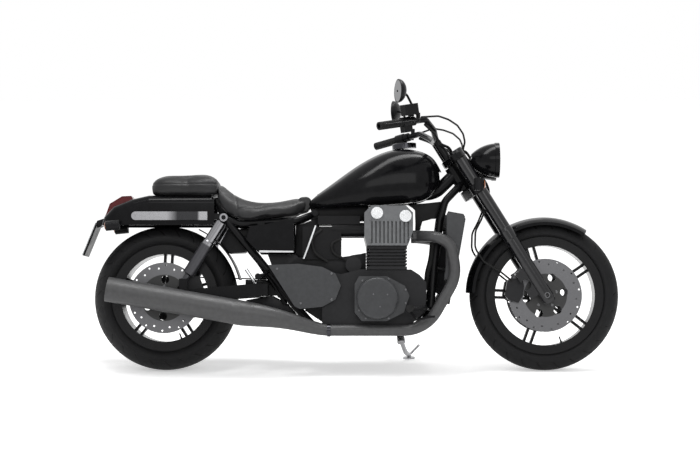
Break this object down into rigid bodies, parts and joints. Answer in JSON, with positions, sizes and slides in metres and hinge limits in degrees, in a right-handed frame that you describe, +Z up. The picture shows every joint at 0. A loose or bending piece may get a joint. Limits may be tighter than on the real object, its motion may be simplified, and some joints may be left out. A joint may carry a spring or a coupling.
{
  "type": "cruiser motorcycle",
  "caption": "Black cruiser motorcycle with an upright parallel-twin engine, low two-piece seat and cast wheels, leaning on its side stand.",
  "frame": {"origin": "on the floor, under the middle of the leaning motorcycle's bounding box", "axes": "+X forward, +Y to the rider's left (the side it leans to), +Z up"},
  "size_m": [2.2932, 0.9446, 1.2526],
  "materials": {
    "alloy": "polished",
    "black_plastic": "satin",
    "chrome": "polished",
    "cover_grey": "satin dark grey paint",
    "engine_black": "satin black crinkle paint",
    "engine_grey": "satin grey paint",
    "exhaust_black": "matt black heat-proof coating",
    "frame_black": "semi-gloss black",
    "gloss_black": "gloss black paint with a clear coat",
    "lens_clear": "clear",
    "lens_red": "dark red lens",
    "radiator_black": "black finned core",
    "rubber": "matt rubber",
    "seat_leather": "black grained cover",
    "stanchion": "gloss black",
    "steel": "brushed",
    "tyre": "matt rubber",
    "wheel_black": "satin black paint"
  },
  "bodies": {
    "chassis": {"alternator_cover": "cover_grey", "cam_caps": "alloy", "clutch_cover": "cover_grey", "crankcase": "engine_black", "cylinder_block": "engine_black", "cylinder_head": "engine_grey", "drive_belt": "rubber", "exhaust_pipes": "exhaust_black", "fender_rails": "chrome", "foot_peg_rubbers": "rubber", "footrest_brackets": "frame_black", "frame": "frame_black", "front_pulley": "steel", "fuel_tank": "gloss_black", "intake": "black_plastic", "lower_side_covers": "cover_grey", "mufflers": "exhaust_black", "passenger_pegs": "frame_black", "pillion_pad": "seat_leather", "plate": "alloy", "plate_bracket": "black_plastic", "radiator": "radiator_black", "radiator_cowls": "cover_grey", "rear_axle": "steel", "rear_caliper": "engine_black", "rear_fender": "gloss_black", "rear_indicators": "black_plastic", "rider_seat": "seat_leather", "shocks": "chrome", "swingarm": "frame_black", "tail_lamp": "lens_red", "tank_dial": "alloy", "upper_side_panels": "gloss_black"},
    "steering": {"brake_hoses": "rubber", "brake_reservoir": "black_plastic", "fork_sliders": "stanchion", "fork_tubes": "stanchion", "fork_yokes": "frame_black", "front_axle": "steel", "front_calipers": "engine_black", "front_fender": "gloss_black", "front_indicators": "black_plastic", "grips": "rubber", "handlebar": "frame_black", "headlamp_bowls": "gloss_black", "headlamp_lenses": "lens_clear", "lamp_bracket": "frame_black", "levers": "frame_black", "mirrors": "black_plastic", "switch_housings": "black_plastic"},
    "front_wheel": {"front_discs": "steel", "front_rim": "wheel_black", "front_tyre": "tyre"},
    "rear_wheel": {"rear_disc": "steel", "rear_pulley": "engine_black", "rear_rim": "wheel_black", "rear_tyre": "tyre"},
    "side_stand": {"side_stand": "frame_black"}
  },
  "joints": [
    {"name": "steering_turn", "type": "hinge", "parent": "chassis", "child": "steering", "pos_m": [0.47327, -0.03122, 0.79752], "axis": [-0.5296, 0.1327, 0.8378], "range_deg": [-30, 30]},
    {"name": "front_wheel_spin", "type": "hinge", "parent": "steering", "child": "front_wheel", "pos_m": [0.82664, -0.10734, 0.31679], "axis": [-0.0001, 0.9877, -0.1564], "continuous": true},
    {"name": "rear_wheel_spin", "type": "hinge", "parent": "chassis", "child": "rear_wheel", "pos_m": [-0.79373, -0.10922, 0.3056], "axis": [-0.0001, 0.9877, -0.1564], "continuous": true},
    {"name": "side_stand_fold", "type": "hinge", "parent": "chassis", "child": "side_stand", "pos_m": [0.21655, -0.01719, 0.10635], "axis": [-0.1412, 0.5942, 0.7919], "range_deg": [0, 102]}
  ]
}
